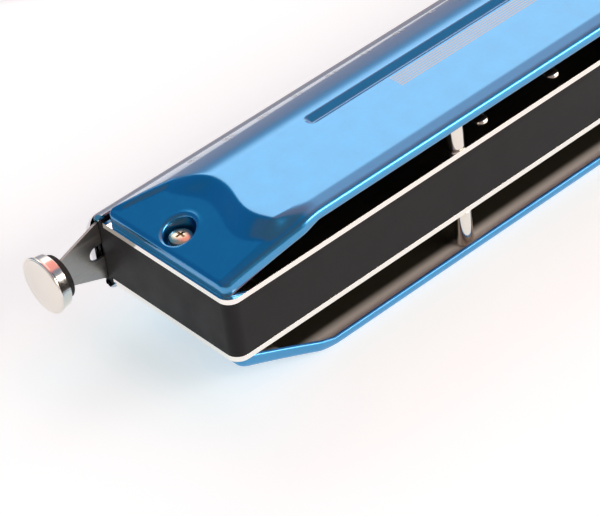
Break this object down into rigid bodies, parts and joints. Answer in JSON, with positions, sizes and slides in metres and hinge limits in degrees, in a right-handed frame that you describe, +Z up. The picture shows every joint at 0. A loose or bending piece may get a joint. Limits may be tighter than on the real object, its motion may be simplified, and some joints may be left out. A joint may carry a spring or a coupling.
{
  "type": "chromatic harmonica",
  "caption": "Chromatic harmonica with blue pressed covers, dark comb, chrome mouthpiece with round holes and a sprung slide worked by a round end button.",
  "frame": {"origin": "middle of the flat underside of the lower cover's roof, on which the harmonica lies, half way along the comb and 7.5 mm behind the middle of the reed plates, clear of the pressed groove", "axes": "+X along the comb towards the button at the high end, +Y from the mouthpiece towards the open back, +Z up through the upper cover"},
  "size_m": [0.1971, 0.0468, 0.034],
  "materials": {
    "comb_plastic": "moulded, slightly satin dark grey plastic",
    "plate_metal": "ground reed plate, bright and faintly warm",
    "cover_colour": "clear coloured lacquer over bright pressed steel, glossy blue",
    "chrome": "polished chrome plate",
    "nickel": "nickel plate, smooth",
    "slide_steel": "flat rolled steel, darkened",
    "black_steel": "blackened sheet steel",
    "spring_steel": "bare spring wire",
    "black_rubber": "soft matt rubber"
  },
  "bodies": {
    "body": {"comb": "comb_plastic", "upper_reed_plate": "plate_metal", "lower_reed_plate": "plate_metal", "upper_cover": "cover_colour", "lower_cover": "cover_colour", "cover_bolt_left": "nickel", "cover_nut_left": "nickel", "upper_post_left": "nickel", "lower_post_left": "nickel", "cover_bolt_right": "nickel", "cover_nut_right": "nickel", "upper_post_right": "nickel", "lower_post_right": "nickel", "upper_plate_screw_1": "nickel", "lower_plate_screw_1": "nickel", "upper_plate_screw_2": "nickel", "lower_plate_screw_2": "nickel", "upper_plate_screw_3": "nickel", "lower_plate_screw_3": "nickel", "upper_plate_screw_4": "nickel", "lower_plate_screw_4": "nickel", "upper_plate_screw_5": "nickel", "lower_plate_screw_5": "nickel", "upper_plate_screw_6": "nickel", "lower_plate_screw_6": "nickel", "upper_plate_screw_7": "nickel", "lower_plate_screw_7": "nickel", "slide_back_plate": "black_steel", "slide_cage": "black_steel", "mouthpiece": "chrome", "mouthpiece_screw_left": "nickel", "mouthpiece_screw_right": "nickel", "return_spring": "spring_steel"},
    "slide_unit": {"slide": "slide_steel", "button_bumper": "black_rubber", "button": "nickel"}
  },
  "joints": [
    {"name": "slide_travel", "type": "slide", "parent": "body", "child": "slide_unit", "axis": [-1, 0, 0], "range_m": [0, 0.0046], "stiffness_N_per_m": 250, "springref_m": -0.006, "deforming": ["return_spring"]}
  ]
}
